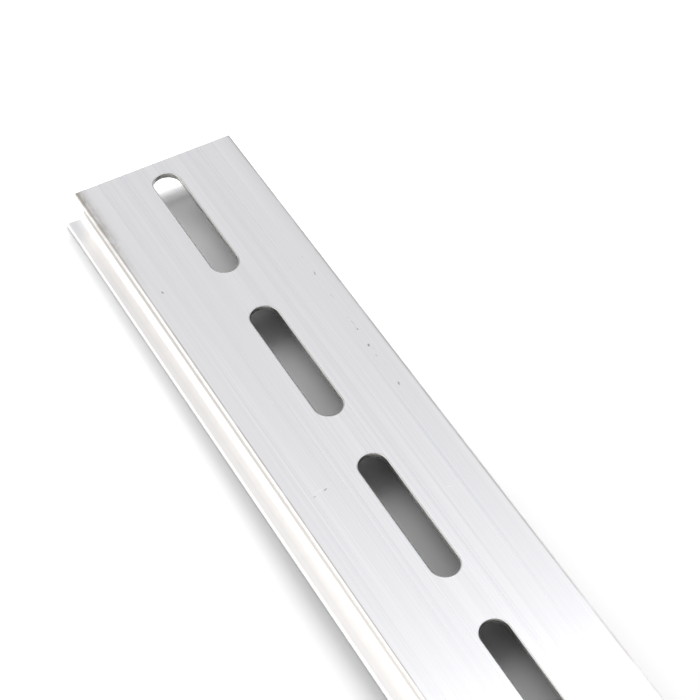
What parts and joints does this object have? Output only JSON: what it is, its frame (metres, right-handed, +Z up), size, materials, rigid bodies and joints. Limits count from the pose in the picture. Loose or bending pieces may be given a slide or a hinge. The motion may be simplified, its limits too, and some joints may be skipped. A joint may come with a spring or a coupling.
{
  "type": "din rail",
  "caption": "Top-hat rail for clip-on control devices: extruded aluminium section with an overhanging base plate and a row of obround slots.",
  "frame": {"origin": "middle of the rail's length and width, on the underside of its flanges", "axes": "+X along the rail, away from the cut end whose first slot starts 3.3 mm in; +Y across the rail; +Z up, out of the base plate's flat back"},
  "size_m": [0.25, 0.035, 0.0075],
  "materials": {
    "aluminium": "mill finish extruded aluminium, slightly bright, with fine lines along its length"
  },
  "bodies": {
    "root": {"rail": "aluminium"}
  },
  "joints": []
}
